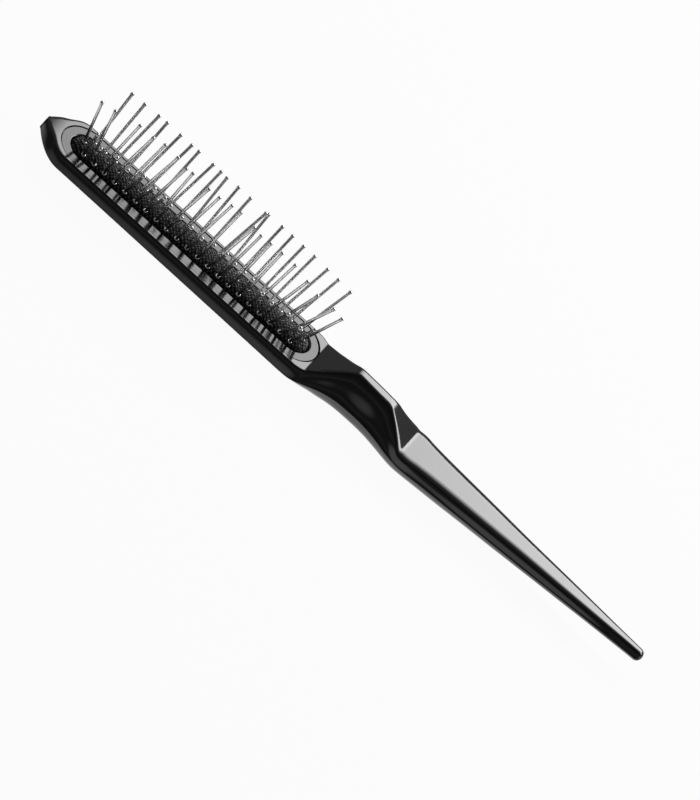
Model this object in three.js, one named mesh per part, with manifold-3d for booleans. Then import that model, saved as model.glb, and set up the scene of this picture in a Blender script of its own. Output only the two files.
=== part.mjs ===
// A salon pin brush with a tail handle: a long black moulding with a pointed head, a humped neck and a
// tapering tail. Three rows of steel pins stand in a woven pad, which a flush bezel plate holds in the head.
//
// X runs along the brush from the nose (-X) to the tail (+X), Y across it, and the pins point up +Z.
// The brush lies on its back: Z = 0 is the flat land under the head, and the origin is on that land, below
// the middle of the pins.
import * as THREE from "three";
import { mergeVertices } from "three/addons/utils/BufferGeometryUtils.js";
import Module from "manifold-3d";

const wasm = await Module();
wasm.setup();

// ---- Driving dimensions, in millimetres and degrees ----

const seatGap = 0.3; // between pieces that seat on or in each other

// Pins
const pinCount = 21; // in each row
const pinPitch = 4.09; // along the outer rows
const pinLength = 19.2; // from the pad to the top of the head
const pinDiameter = 0.9;
const pinHeadDiameter = 1.25;
const pinHeadFlare = 0.7; // length of the flare under the head
const pinHeadRim = 0.25;
const outerSplay = 34;
const footDiameter = 1.5;
const holeClearance = 0.25; // room all round for a pin to rock in the pad

// Foot strips, one under each row
const stripWidth = 1.5;
const stripThickness = 1.4;
const stripSpacing = 2.48; // between the middles of neighbouring strips
const stripOverhang = 0.7; // past the middle of the last pin
const stripClearance = 0.35; // running gap between a strip and the tray

// Woven pad
const padRise = 0.8; // above the face, where the outer rows stand
const padCrown = 0.8; // further rise towards the middle row
const padCrownFlat = 1; // half width of the crown's top
const padSheet = 1.35; // thickness that the pins pass through
const padWall = 1;
const padRim = 1.2; // how far the clamped rim reaches out under the bezel
const padRimThickness = 1;
const padShoulder = 2; // width of the crown's rounding
const padShoulderDrop = 0.6; // where the rounding starts, below the face

// Pad tray on the floor of the pocket
const trayFloor = 0.85;
const trayWall = 2.4;

// Bezel plate and its slot
const bezelThickness = 1.8;
const bezelFrame = 3.4; // width of the plate beside the slot
const bezelChamfer = 0.25;
const slotChamfer = 0.5;
const rowMargin = 1.4; // from the outer rows to the slot's sides
const outerRowMargin = 5.52; // from the last pin of an outer row to the slot's end
const middleRowMargin = 3.32;

// Head of the brush body
const overallLength = 236.4;
const headRim = 0.85; // moulding left beside the bezel plate
const headFlare = 1.1; // how far the wall's foot stands out past the face, on each side
const headWall = 4.3; // height of the upright side wall, above the domed back
const backWall = 2.65; // under the pocket
const landWidth = 5; // flat strip along the back
const landTaper = 5; // where it begins to narrow, before the head's sides do
const noseLength = 12;
const noseMargin = 6; // from the nose tip to the bezel's recess
const noseTipWidth = 1.8;
const noseEdgeRadius = 2; // rounding of the face's edge at the nose tip
const edgeRadius = 0.45; // the same along the head's sides
const neckMargin = -0.22; // from the bezel's recess, which cuts a little into it, to the neck's first slope

// Neck, a hump above the face with a scoop in each flank
const humpHeight = 7.3;
const riseAngle = 30.5;
const fallAngle = 29;
const crestLength = 14.3;
const crestDrop = 0.8; // fall of the crest towards the tail
const crestRounding = 0.9;
const creaseRounding = 0.25; // where the first slope leaves the face
const rampFootRounding = 1; // where the second slope meets the handle
const headFlareAngle = 84; // of the sides just above their widest line
const neckFlareAngle = 60;
const flankReach = 0.36; // how far the sides' two ends hold their slopes, as a share of their height
const neckLandWidth = 1.6;
const tailLandWidth = 0.6;
const tailRounding = 1.6;

// Sections of the neck and the handle, towards the tail. At is the distance past the end of the face, top
// and side are half widths of the top and of the widest line, drop is how far that line lies below the
// face, back is the height of the back, and edge and roll are how wide and how deep the top's edges round.
const sections = [
  { at: 1.6, top: 8.85, side: 9.6, drop: 4, back: 0.05, edge: 0.8, roll: 0.6 },
  { at: 4.5, top: 6.85, side: 8.25, drop: 3.6, back: 0.05, edge: 1.1, roll: 0.7 },
  { at: 7.5, top: 4.85, side: 7, drop: 3.3, back: 0.05, edge: 1.2, roll: 0.75 },
  { at: 10.2, top: 3.05, side: 6.2, drop: 3.2, back: 0.1, edge: 1.2, roll: 0.8 },
  { at: 12.8, top: 2.2, side: 5.55, drop: 3.2, back: 0.1, edge: 1.2, roll: 0.8 },
  { at: 20.7, top: 2.1, side: 5.1, drop: 3.3, back: 0.1, edge: 1.2, roll: 0.8 },
  { at: 27.6, top: 2.7, side: 6, drop: 3.4, back: 0.05, edge: 1.2, roll: 0.75 },
  { at: 33.9, top: 5.75, side: 7.8, drop: 3.7, back: 0.05, edge: 1.4, roll: 0.7 },
  { at: 36.9, top: 7.05, side: 8.3, drop: 3.85, back: 0.05, edge: 1.7, roll: 0.65 },
  { at: 39.8, top: 7.35, side: 8.5, drop: 3.9, back: 0.05, edge: 2, roll: 0.65 },
  { at: 48.6, top: 7.1, side: 8, drop: 3.6, back: 0.1, edge: 3, roll: 0.8 },
  { at: 66.3, top: 5.75, side: 6.4, drop: 3.6, back: 0.9, edge: 2.8, roll: 0.75 },
  { at: 83.9, top: 4.4, side: 5, drop: 3.4, back: 2.1, edge: 2.3, roll: 0.75 },
  { at: 101.6, top: 3.2, side: 3.8, drop: 2.95, back: 3.2, edge: 1.9, roll: 0.7 },
  { at: 119.2, top: 2.05, side: 2.7, drop: 2.4, back: 4.1, edge: 1.3, roll: 0.6 },
  { at: 128.7, top: 1.5, side: 2.1, drop: 2.2, back: 4.6, edge: 1, roll: 0.5 },
];

// How each wire stands, pin by pin from the nose to the tail, in whole degrees. Along leans the pin
// towards the tail, across leans it towards +Y, both on top of its row's own splay.
const leans = {
  left: {
    along: [-2, -4, 0, 2, 4, 6, 6, 2, 4, 4, 5, 5, 6, 5, 4, 1, 4, 3, 8, 12, 10],
    across: [3, -5, -1, -3, 3, 1, 1, -1, -2, -3, -4, -1, 1, -1, -1, -1, -4, -5, -2, -4, 4],
  },
  middle: {
    along: [-12, -11, 1, 4, 3, 6, 5, -1, 6, 5, 5, 2, 7, 3, 1, 1, 4, 9, 11, 17, 15],
    across: [-10, -7, 0, 0, 4, 3, -1, 0, -1, 0, 4, 5, 2, -1, 0, 1, 1, -4, -9, -6, -9],
  },
  right: {
    along: [-4, -2, 2, -1, 3, 4, 0, 5, 2, -3, -2, 0, 7, -3, 1, 1, 2, 3, 7, 8, 11],
    across: [-12, -9, -4, 2, 2, 2, 2, 0, -3, -7, 2, -3, -6, 2, 2, 2, -3, -2, -7, -9, -12],
  },
};

// ---- Materials ----

const material = (color, roughness, metalness) =>
  new THREE.MeshStandardMaterial({ color, roughness, metalness });
const blackGloss = material(0x0b0b0c, 0.08, 0);
const bezelGloss = material(0x111113, 0.12, 0);
const wovenTextile = material(0x2a2a2c, 0.7, 0);
const blackRubber = material(0x1c1c1d, 0.85, 0);
const pinSteel = material(0xb4b6b8, 0.25, 1);

// ---- Sizes that follow from those above ----

const radians = THREE.MathUtils.degToRad;
const between = (from, to, share) => from + share * (to - from);

// The stack in the pocket, upwards from the back.
const pocketFloor = backWall;
const trayBase = pocketFloor + seatGap;
const channelFloor = trayBase + trayFloor;
const stripBase = channelFloor + stripClearance;
const stripTop = stripBase + stripThickness;
const footHeight = stripTop + seatGap + footDiameter / 2;
const padUnderside = footHeight + footDiameter / 2 + seatGap;
const padTop = padUnderside + padSheet;
const face = padTop - padRise;
const bezelBase = face - bezelThickness;
const ledge = bezelBase - seatGap; // the step in the body that the bezel lies on
const rimTop = bezelBase - seatGap;
const rimBase = rimTop - padRimThickness;
const trayTop = rimBase - seatGap;

// Half widths, outwards from the middle row.
const footDrop = padTop - footHeight;
const rowSpacing = stripSpacing + footDrop * Math.tan(radians(outerSplay));
const halfSlot = rowSpacing + rowMargin;
const halfBezel = halfSlot + bezelFrame;
const halfRecess = halfBezel + seatGap;
const halfHead = halfRecess + headRim;
const halfPad = halfSlot - seatGap;
const halfPadCavity = halfPad - padWall;
const halfPadRim = halfPad + padRim;
const halfPocket = halfPadRim + seatGap;
const halfTray = halfPocket - seatGap;
const halfChannel = halfTray - trayWall;

// Lengths of the slot and the rows.
const outerSpan = (pinCount - 1) * pinPitch;
const slotLength = outerSpan + 2 * outerRowMargin;
const middleSpan = slotLength - 2 * middleRowMargin;
const halfStraight = slotLength / 2 - halfSlot; // of every stadium, from its middle to its round end

// Places along the brush.
const noseTip = -(halfStraight + halfRecess + noseMargin);
const tailTip = noseTip + overallLength;
const faceEnd = halfStraight + halfRecess + neckMargin;
const riseSlope = Math.tan(radians(riseAngle));
const fallSlope = Math.tan(radians(fallAngle));
const crestStart = faceEnd + humpHeight / riseSlope;
const crestEnd = crestStart + crestLength;
const humpEnd = crestEnd + (humpHeight - crestDrop) / fallSlope;
const facetEnd = tailTip - tailRounding;

// ---- Geometry helpers ----

// A closed solid from rings of points, each counter-clockwise as seen from the next: side faces between
// neighbouring rings and a fan over each end. A looped stack joins its last ring to its first instead.
function loft(rings, looped = false) {
  const count = rings[0].length;
  const points = rings.flat();
  const faces = [];
  const bands = looped ? rings.length : rings.length - 1;
  for (let band = 0; band < bands; band++) {
    const low = band * count;
    const high = ((band + 1) % rings.length) * count;
    for (let i = 0; i < count; i++) {
      const j = (i + 1) % count;
      faces.push([low + i, low + j, high + j], [low + i, high + j, high + i]);
    }
  }
  if (!looped) {
    const last = (rings.length - 1) * count;
    const first = points.push(centroid(rings[0])) - 1;
    const end = points.push(centroid(rings.at(-1))) - 1;
    for (let i = 0; i < count; i++) {
      const j = (i + 1) % count;
      faces.push([first, j, i], [end, last + i, last + j]);
    }
  }
  return new THREE.BufferGeometry().setFromPoints(points).setIndex(faces.flat());
}

function centroid(ring) {
  return ring.reduce((sum, point) => sum.add(point), new THREE.Vector3()).divideScalar(ring.length);
}

// A closed geometry as a solid that can be cut and joined, and back again.
function solidOf(geometry) {
  const bare = new THREE.BufferGeometry();
  bare.setAttribute("position", geometry.getAttribute("position"));
  bare.setIndex(geometry.index);
  const merged = mergeVertices(bare, 1e-4);
  const vertProperties = new Float32Array(merged.getAttribute("position").array);
  const triVerts = new Uint32Array(merged.index.array);
  return new wasm.Manifold(new wasm.Mesh({ numProp: 3, vertProperties, triVerts }));
}

function geometryOf(solid) {
  const mesh = solid.getMesh();
  const geometry = new THREE.BufferGeometry();
  geometry.setAttribute("position", new THREE.BufferAttribute(mesh.vertProperties, 3));
  geometry.setIndex(new THREE.BufferAttribute(mesh.triVerts, 1));
  geometry.computeVertexNormals();
  return geometry;
}

// A smooth curve through knots [position, value] that never overshoots them.
function curve(knots) {
  const slopes = knots.slice(1).map(([x, v], i) => (v - knots[i][1]) / (x - knots[i][0]));
  const tangents = knots.map((knot, i) => {
    const [before, after] = [slopes[i - 1], slopes[i]];
    if (before === undefined || after === undefined) return before ?? after;
    return before * after <= 0 ? 0 : (2 * before * after) / (before + after);
  });
  return (x) => {
    if (x <= knots[0][0]) return knots[0][1];
    if (x >= knots.at(-1)[0]) return knots.at(-1)[1];
    const i = knots.findIndex((knot) => knot[0] > x) - 1;
    const [[x0, v0], [x1, v1]] = [knots[i], knots[i + 1]];
    const span = x1 - x0;
    const t = (x - x0) / span;
    const rise = v0 * (1 + 2 * t) * (1 - t) ** 2 + v1 * t * t * (3 - 2 * t);
    return rise + span * (tangents[i] * t * (1 - t) ** 2 + tangents[i + 1] * t * t * (t - 1));
  };
}

// The smaller of two values, with the corner between them rounded off.
function roundedMin(a, b, rounding) {
  const near = Math.max(rounding - Math.abs(a - b), 0) / rounding;
  return Math.min(a, b) - (near * near * rounding) / 4;
}

// Evenly spaced values from start towards end, without end itself.
const steps = (start, end, count) =>
  Array.from({ length: count }, (_, i) => between(start, end, i / count));

// ---- Brush body ----

const headSideEnd = faceEnd - 3.5; // the head's sides start to turn in just before the neck
const handleStart = humpEnd + 4; // past here the handle changes slowly
const alongHandle = (share) => between(humpEnd, facetEnd, share);

// A curve that runs from a value at the end of the head's sides through one column of the sections.
const column = (key, first, ...before) =>
  curve([...before, [headSideEnd, first], ...sections.map((row) => [faceEnd + row.at, row[key]])]);

function noseHalfWidth(x) {
  const t = THREE.MathUtils.clamp((x - noseTip) / noseLength, 0, 1);
  return between(noseTipWidth / 2, halfHead, 1 - (1 - t) ** 1.8);
}

// Half widths of the top, and of the widest line of the sides, which draws in for thumb and finger.
const neckTopHalf = column("top", halfHead);
const neckSideHalf = column("side", halfHead + headFlare);
const headSideHalf = (x) => noseHalfWidth(x) * (1 + headFlare / halfHead);
const topHalf = (x) => Math.min(noseHalfWidth(x), neckTopHalf(x));
const sideHalf = (x) => Math.min(headSideHalf(x), neckSideHalf(x));

// Height of the top: the face, rolled over at the nose, the hump, and the handle level with the face.
function topHeight(x) {
  const crest = humpHeight - crestDrop * ((x - crestStart) / crestLength);
  const rising = (x - faceEnd) * riseSlope;
  const falling = (humpEnd - x) * fallSlope;
  const hump = roundedMin(crest, Math.min(rising, falling), crestRounding);
  const footRounding = rising < falling ? creaseRounding : rampFootRounding;
  const toRoll = Math.max(noseEdgeRadius - (x - noseTip), 0);
  const roll = noseEdgeRadius - Math.sqrt(noseEdgeRadius ** 2 - toRoll ** 2);
  return face - roundedMin(0, -hump, footRounding) - roll;
}

// Depth below the face of the widest line of the sides, where the flank turns under to the back.
const sideDrop = column("drop", headWall);
const neckBack = column("back", 0);

// The back follows the nose's plan, so that its dome keeps one slope up to the tip.
function backHeight(x) {
  const dome = (face - headWall) * (noseHalfWidth(x) / halfHead);
  return x < headSideEnd ? face - headWall - dome : neckBack(x);
}

// The back's outline is |y/a|^across + |z/b|^down = 1: a shallow dome under the head, and a keel with
// swelling sides under the neck and the handle.
const acrossPower = curve([[headSideEnd, 2], [crestStart, 1.7], [facetEnd, 1.8]]);
const downPower = curve([[headSideEnd, 1], [crestStart, 1.7], [facetEnd, 1.8]]);
const neckLand = curve([
  [headSideEnd - landTaper, landWidth / 2],
  [crestStart, neckLandWidth / 2],
  [humpEnd, neckLandWidth / 2],
  [facetEnd, tailLandWidth / 2],
]);
const landHalf = (x) => neckLand(x) * (noseHalfWidth(x) / halfHead);

// How steeply the flank comes down to the widest line.
const flareAngle = curve([[headSideEnd, headFlareAngle], [crestStart, neckFlareAngle]]);

// How wide and how deep the edges of the top are rounded.
const noseEdges = [[noseTip, noseEdgeRadius], [noseTip + noseLength, edgeRadius]];
const edgeAcross = column("edge", edgeRadius, ...noseEdges);
const edgeDown = column("roll", edgeRadius, ...noseEdges);

// One side of the outline at x, from the top's edge, down the flank, to the land, as [y, z] pairs.
function halfSection(x) {
  const top = topHeight(x);
  const side = face - sideDrop(x);
  const bottom = backHeight(x);
  const half = topHalf(x);
  const wide = sideHalf(x);
  const across = Math.min(edgeAcross(x), 0.8 * half);
  const roll = Math.min(edgeDown(x), 0.8 * half);
  const points = [];
  for (const share of steps(0, 1, 3)) {
    const angle = (Math.PI / 2) * share;
    points.push([half - across * (1 - Math.sin(angle)), top - roll * (1 - Math.cos(angle))]);
  }
  // The flank leaves the top straight down and flares out to the widest line, which scoops it wherever
  // the top is the narrower of the two.
  const from = new THREE.Vector2(half, top - roll);
  const to = new THREE.Vector2(wide, side);
  const reach = flankReach * (from.y - to.y);
  const flare = radians(flareAngle(x));
  const leaving = new THREE.Vector2(from.x, from.y - reach);
  const arriving = new THREE.Vector2(to.x - reach * Math.cos(flare), to.y + reach * Math.sin(flare));
  const flank = new THREE.CubicBezierCurve(from, leaving, arriving, to);
  for (const share of steps(0, 1, 7)) points.push(flank.getPoint(share).toArray());
  const land = Math.min(landHalf(x), 0.6 * wide);
  for (const share of steps(0, 1, 7)) {
    const angle = (Math.PI / 2) * share;
    const inward = Math.cos(angle) ** (2 / acrossPower(x));
    const downward = Math.sin(angle) ** (2 / downPower(x));
    points.push([between(land, wide, inward), between(side, bottom, downward)]);
  }
  points.push([land, bottom]);
  return points;
}

// The whole outline at x as a ring of points, shrunk about the tail's middle line by scale.
function bodyRing(x, scale = 1) {
  const side = halfSection(Math.min(x, facetEnd));
  const outline = [...side.map(([y, z]) => [-y, z]), ...side.toReversed()];
  const axis = (face + backHeight(facetEnd)) / 2;
  return outline.map(([y, z]) => new THREE.Vector3(x, y * scale, between(axis, z, scale)));
}

function bodySolid() {
  const stations = [
    ...steps(0, 1, 9).map((t) => noseTip + noseLength * t ** 1.3),
    noseTip + noseLength,
    ...steps(headSideEnd, faceEnd, 2),
    ...steps(faceEnd - 0.2, crestStart - 0.9, 7),
    ...steps(crestStart - 0.9, crestStart + 1, 4),
    ...steps(crestStart + 1, crestEnd - 1.2, 4),
    ...steps(crestEnd - 1.2, crestEnd + 1, 4),
    ...steps(crestEnd + 1, handleStart, 10),
    ...steps(handleStart, alongHandle(0.12), 2),
    ...steps(alongHandle(0.12), facetEnd, 8),
  ];
  const rings = stations.map((x) => bodyRing(x));
  for (const turn of [0, 30, 55, 75]) {
    rings.push(bodyRing(facetEnd + tailRounding * Math.sin(radians(turn)), Math.cos(radians(turn))));
  }
  return solidOf(loft(rings));
}

// ---- Stadium pieces in the head ----

// A level ring of points with round ends, at halfWidth from a centre line along X.
function stadiumRing(halfWidth, z, { straight = halfStraight, y = 0, arc = 14 } = {}) {
  const ring = [];
  for (const end of [1, -1]) {
    for (const angle of [...steps(-90, 90, arc), 90].map(radians)) {
      const x = end * (straight + halfWidth * Math.cos(angle));
      ring.push(new THREE.Vector3(x, y + end * halfWidth * Math.sin(angle), z));
    }
  }
  return ring;
}

// A solid from a profile of [half width, height] pairs, listed upwards.
const stadiumStack = (profile, options) =>
  solidOf(loft(profile.map(([halfWidth, z]) => stadiumRing(halfWidth, z, options))));

// What is cut from the body: the bezel's recess in the face, and the pocket below it.
function pocketSolid() {
  return stadiumStack([
    [halfPocket, pocketFloor],
    [halfPocket, ledge],
    [halfRecess, ledge],
    [halfRecess, face + humpHeight],
  ]);
}

function bezelGeometry() {
  const profile = [
    [halfBezel, bezelBase],
    [halfBezel, face - bezelChamfer],
    [halfBezel - bezelChamfer, face],
    [halfSlot + slotChamfer, face],
    [halfSlot, face - slotChamfer],
    [halfSlot, bezelBase],
  ];
  return loft(profile.map(([halfWidth, z]) => stadiumRing(halfWidth, z)), true);
}

// The pad is a sheet that stands up through the slot like a low lid, with its rim clamped underneath.
function padSolid() {
  const crown = steps(0, 90, 3).map((angle) => [
    halfPad - padShoulder * (1 - Math.cos(radians(angle))),
    between(face - padShoulderDrop, padTop, Math.sin(radians(angle))),
  ]);
  const outside = stadiumStack([
    [halfPadRim, rimBase],
    [halfPadRim, rimTop],
    [halfPad, rimTop],
    ...crown,
    [halfPad - padShoulder, padTop],
    [padCrownFlat, padTop + padCrown],
  ]);
  const cavity = stadiumStack([
    [halfPadCavity, rimBase - seatGap],
    [halfPadCavity, padUnderside - 0.3],
    [halfPadCavity - 0.4, padUnderside],
  ]);
  return outside.subtract(cavity);
}

function traySolid() {
  const block = stadiumStack([[halfTray, trayBase], [halfTray, trayTop]]);
  return block.subtract(stadiumStack([[halfChannel, channelFloor], [halfChannel, trayTop + seatGap]]));
}

// ---- Pins and their foot strips ----

const rows = [
  { name: "left", side: -1, span: outerSpan },
  { name: "middle", side: 0, span: middleSpan },
  { name: "right", side: 1, span: outerSpan },
];
const pinNumbers = Array.from({ length: pinCount }, (_, i) => i);

// Where pin i of a row leaves the pad, and how it is turned from upright.
function pinPlace(row, i) {
  const { along, across } = leans[row.name];
  const share = pinCount > 1 ? i / (pinCount - 1) : 0.5;
  const lean = Math.round(share * (along.length - 1));
  const tilt = row.side * outerSplay + across[lean];
  const turn = new THREE.Euler(radians(-tilt), radians(along[lean]), 0);
  const base = new THREE.Vector3((share - 0.5) * row.span, row.side * rowSpacing, padTop);
  return new THREE.Matrix4().makeRotationFromEuler(turn).setPosition(base);
}

// A wire pin that points up its own Z axis from the pad, with a ball foot at the height that all the
// feet share and a flared head.
function pinGeometry(place) {
  const steepness = place.elements[10];
  const foot = -footDrop / steepness;
  const ball = footDiameter / 2;
  const shaft = pinDiameter / 2;
  const head = pinHeadDiameter / 2;
  const profile = [
    [0, foot - ball],
    [0.75 * ball, foot - 0.66 * ball],
    [ball, foot],
    [shaft, foot + 0.82 * ball],
    [shaft, pinLength - pinHeadFlare],
    [head, pinLength - pinHeadRim],
    [head, pinLength],
    [0, pinLength],
  ];
  const outline = profile.map(([radius, z]) => new THREE.Vector2(radius, z));
  return new THREE.LatheGeometry(outline, 8).rotateX(Math.PI / 2);
}

// The hole that a pin passes through, with a reach past both faces of the pad's sheet.
function holeSolid(place) {
  const radius = pinDiameter / 2 + holeClearance;
  const hole = new THREE.CylinderGeometry(radius, radius, 3 * padSheet, 8).rotateX(Math.PI / 2);
  hole.translate(0, 0, -padSheet / 2);
  return solidOf(hole.applyMatrix4(place));
}

// The strip under the feet of a row. The middle row's feet are cast into theirs, up to half the ball.
function stripSolid(row) {
  const shape = {
    straight: row.span / 2 + stripOverhang - stripWidth / 2,
    y: row.side * stripSpacing,
    arc: 4,
  };
  const top = row.side === 0 ? footHeight : stripTop;
  return stadiumStack([[stripWidth / 2, stripBase], [stripWidth / 2, top]], shape);
}

// ---- The assembly ----

const brush = new THREE.Group();
brush.name = "pin_brush";

function add(name, geometry, finish) {
  const mesh = new THREE.Mesh(geometry, finish);
  mesh.name = name;
  brush.add(mesh);
  return mesh;
}

add("brush_body", geometryOf(bodySolid().subtract(pocketSolid())), blackGloss);
add("bezel_plate", bezelGeometry(), bezelGloss);
add("pad_tray", geometryOf(traySolid()), blackRubber);

let pad = padSolid();
for (const row of rows) {
  const places = pinNumbers.map((i) => pinPlace(row, i));
  for (const place of places) pad = pad.subtract(holeSolid(place));
  const strip = stripSolid(row);
  if (row.side === 0) {
    const pins = places.map((place) => solidOf(pinGeometry(place).applyMatrix4(place)));
    const cast = pins.reduce((joined, pin) => joined.add(pin), strip);
    add("pin_row_middle", geometryOf(cast), pinSteel);
    continue;
  }
  add("foot_strip_" + row.name, geometryOf(strip), blackRubber);
  for (const [i, place] of places.entries()) {
    const number = String(i + 1).padStart(2, "0");
    const pin = add("pin_" + row.name + "_" + number, pinGeometry(place), pinSteel);
    pin.applyMatrix4(place);
  }
}
add("woven_pad", geometryOf(pad), wovenTextile);

export default brush;
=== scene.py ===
# A black salon brush with a tail handle, dressed for the studio: a glossy moulding, a woven cushion pad
# and three rows of steel pins. Lengths in the settings are millimetres, as in the part's own source.
import math

import bpy
import numpy as np
from mathutils import Matrix, Vector


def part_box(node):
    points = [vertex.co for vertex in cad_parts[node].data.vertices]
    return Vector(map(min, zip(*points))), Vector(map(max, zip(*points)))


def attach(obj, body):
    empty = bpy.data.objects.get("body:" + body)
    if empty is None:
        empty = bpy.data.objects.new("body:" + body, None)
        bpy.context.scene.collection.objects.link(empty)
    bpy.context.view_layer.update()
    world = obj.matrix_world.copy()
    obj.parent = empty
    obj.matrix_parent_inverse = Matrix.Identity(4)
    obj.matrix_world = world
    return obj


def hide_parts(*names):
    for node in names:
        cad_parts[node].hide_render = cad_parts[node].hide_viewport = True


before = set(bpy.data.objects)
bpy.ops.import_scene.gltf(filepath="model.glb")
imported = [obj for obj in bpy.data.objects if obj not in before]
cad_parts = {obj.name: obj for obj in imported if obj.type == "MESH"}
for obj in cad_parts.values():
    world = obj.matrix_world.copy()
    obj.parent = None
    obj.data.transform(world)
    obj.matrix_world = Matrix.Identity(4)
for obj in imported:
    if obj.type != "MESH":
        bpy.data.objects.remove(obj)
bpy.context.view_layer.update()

mm = 0.001
print("frame loaded:", len(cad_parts), "nodes")


bezelLow, bezelHigh = [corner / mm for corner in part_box("bezel_plate")]
padLow, padHigh = [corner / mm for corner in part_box("woven_pad")]
bodyLow, bodyHigh = [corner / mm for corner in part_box("brush_body")]
face = bezelHigh.z
noseTip = bodyLow.x
tailTip = bodyHigh.x
halfBezel = bezelHigh.y
halfStraight = bezelHigh.x - halfBezel  # of every stadium, from the middle to its round end

# How the pieces sit in each other.
seat = {"gap": 0.3, "slotHalf": 5.5, "pocketHalf": 6.7, "pocketFloor": 2.65, "padRise": 0.8, "padCrown": 0.8}
padTop = face + seat["padRise"]  # where the outer rows stand, below the crown
halfRecess = halfBezel + seat["gap"]
halfPad = seat["slotHalf"] - seat["gap"]
sliver = 0.04  # keeps a flat face's edge apart from the rounding beside it


def between(start, end, share):
    return start + (end - start) * share


def softCurve(knots, blur):
    # A smooth curve through the knots that never overshoots them, then blurred along its length.
    step, margin = 0.1, 20
    xs, ys = np.array(knots, float).T
    slopes = np.diff(ys) / np.diff(xs)
    tangents = np.concatenate([slopes[:1], slopes, slopes[-1:]])
    before, after = tangents[:-1], tangents[1:]
    same = before * after > 0
    tangents = np.where(same, 2 * before * after / np.where(same, before + after, 1), 0)
    tangents[0], tangents[-1] = slopes[0], slopes[-1]
    fine = np.arange(xs[0] - margin, xs[-1] + margin, step)
    inside = np.clip(fine, xs[0], xs[-1])
    i = np.clip(np.searchsorted(xs, inside, side="right") - 1, 0, len(xs) - 2)
    span = xs[i + 1] - xs[i]
    t = (inside - xs[i]) / span
    value = (ys[i] * (1 + 2 * t) * (1 - t) ** 2 + ys[i + 1] * t * t * (3 - 2 * t)
             + span * (tangents[i] * t * (1 - t) ** 2 + tangents[i + 1] * t * t * (t - 1)))
    reach = np.arange(-3 * blur, 3 * blur + step, step)
    weights = np.exp(-0.5 * (reach / blur) ** 2)
    padded = np.pad(value, len(reach) // 2, mode="edge")
    value = np.convolve(padded, weights / weights.sum(), mode="valid")[: len(fine)]
    return lambda x: float(np.interp(x, fine, value))


def roundedMin(a, b, rounding):
    # The smaller of two values, with the corner between them rounded off.
    near = max(rounding - abs(a - b), 0) / rounding
    return min(a, b) - near * near * rounding / 4


def bend(start, leave, arrive, end, shares):
    # Points of a curve that leaves its start and reaches its end towards two handles.
    return [start * (1 - t) ** 3 + 3 * leave * (1 - t) ** 2 * t + 3 * arrive * (1 - t) * t * t + end * t ** 3
            for t in shares]


def arcPoints(centre, radius, start, end, count):
    # Points of an arc in a profile of [half width, height].
    angles = np.radians(np.linspace(start, end, count))
    return [(centre[0] + radius * math.cos(a), centre[1] + radius * math.sin(a)) for a in angles]


def stadium(halfWidth, z, arc, along=1):
    # A level ring of points round a centre line along X.
    ring = []
    for end in (1, -1):
        for angle in np.radians(np.linspace(-90, 90, arc + 1)):
            x = halfStraight + halfWidth * math.cos(angle)
            ring.append((end * x, end * halfWidth * math.sin(angle), z))
        for share in np.linspace(0, 1, along + 1)[1:-1]:
            ring.append((end * halfStraight * (1 - 2 * share), end * halfWidth, z))
    return ring


def insidePad(x, y):
    # How far a spot lies inside the pad's edge.
    return halfPad - np.hypot(np.clip(np.abs(x) - halfStraight, 0, None), y)


def loftFaces(ringCount, pointCount, start=0, looped=False):
    # Quads between neighbouring rings, counter-clockwise as seen from the next ring. The first and last
    # ring are joined in a loop, or closed by flat caps.
    faces = []
    for band in range(ringCount if looped else ringCount - 1):
        low = start + band * pointCount
        high = start + (band + 1) % ringCount * pointCount
        for i in range(pointCount):
            j = (i + 1) % pointCount
            faces.append((low + i, low + j, high + j, high + i))
    if not looped:
        last = start + (ringCount - 1) * pointCount
        faces.append(tuple(range(start + pointCount - 1, start - 1, -1)))
        faces.append(tuple(range(last, last + pointCount)))
    return faces


def shadeSmooth(made, smoothAngle):
    made.data.shade_smooth()
    made.data.set_sharp_from_angle(angle=math.radians(smoothAngle))


def link(name, data):
    made = bpy.data.objects.new(name, data)
    bpy.context.scene.collection.objects.link(made)
    return made


def makeObject(name, points, faces, smoothAngle):
    mesh = bpy.data.meshes.new(name)
    mesh.from_pydata((np.asarray(points, float) * mm).tolist(), [], faces)
    mesh.validate()
    made = link(name, mesh)
    shadeSmooth(made, smoothAngle)
    return made


def loft(name, rings, smoothAngle, looped=False):
    rings = np.asarray(rings, float)
    faces = loftFaces(rings.shape[0], rings.shape[1], looped=looped)
    return makeObject(name, rings.reshape(-1, 3), faces, smoothAngle)


class Wire:
    # A socket with arithmetic: an expression on wires adds its own Math nodes.
    def __init__(self, finish, socket):
        self.finish = finish
        self.socket = socket

    def math(self, operation, left, right):
        return self.finish.node("Math", {"operation": operation}, {0: left, 1: right})

    def __add__(self, other):
        return self.math("ADD", self, other)

    def __radd__(self, other):
        return self.math("ADD", other, self)

    def __sub__(self, other):
        return self.math("SUBTRACT", self, other)

    def __rsub__(self, other):
        return self.math("SUBTRACT", other, self)

    def __mul__(self, other):
        return self.math("MULTIPLY", self, other)

    def __rmul__(self, other):
        return self.math("MULTIPLY", other, self)

    def __truediv__(self, other):
        return self.math("DIVIDE", self, other)

    def __rtruediv__(self, other):
        return self.math("DIVIDE", other, self)

    def __pow__(self, other):
        return self.math("POWER", self, other)

    def __rpow__(self, other):
        return self.math("POWER", other, self)


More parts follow.
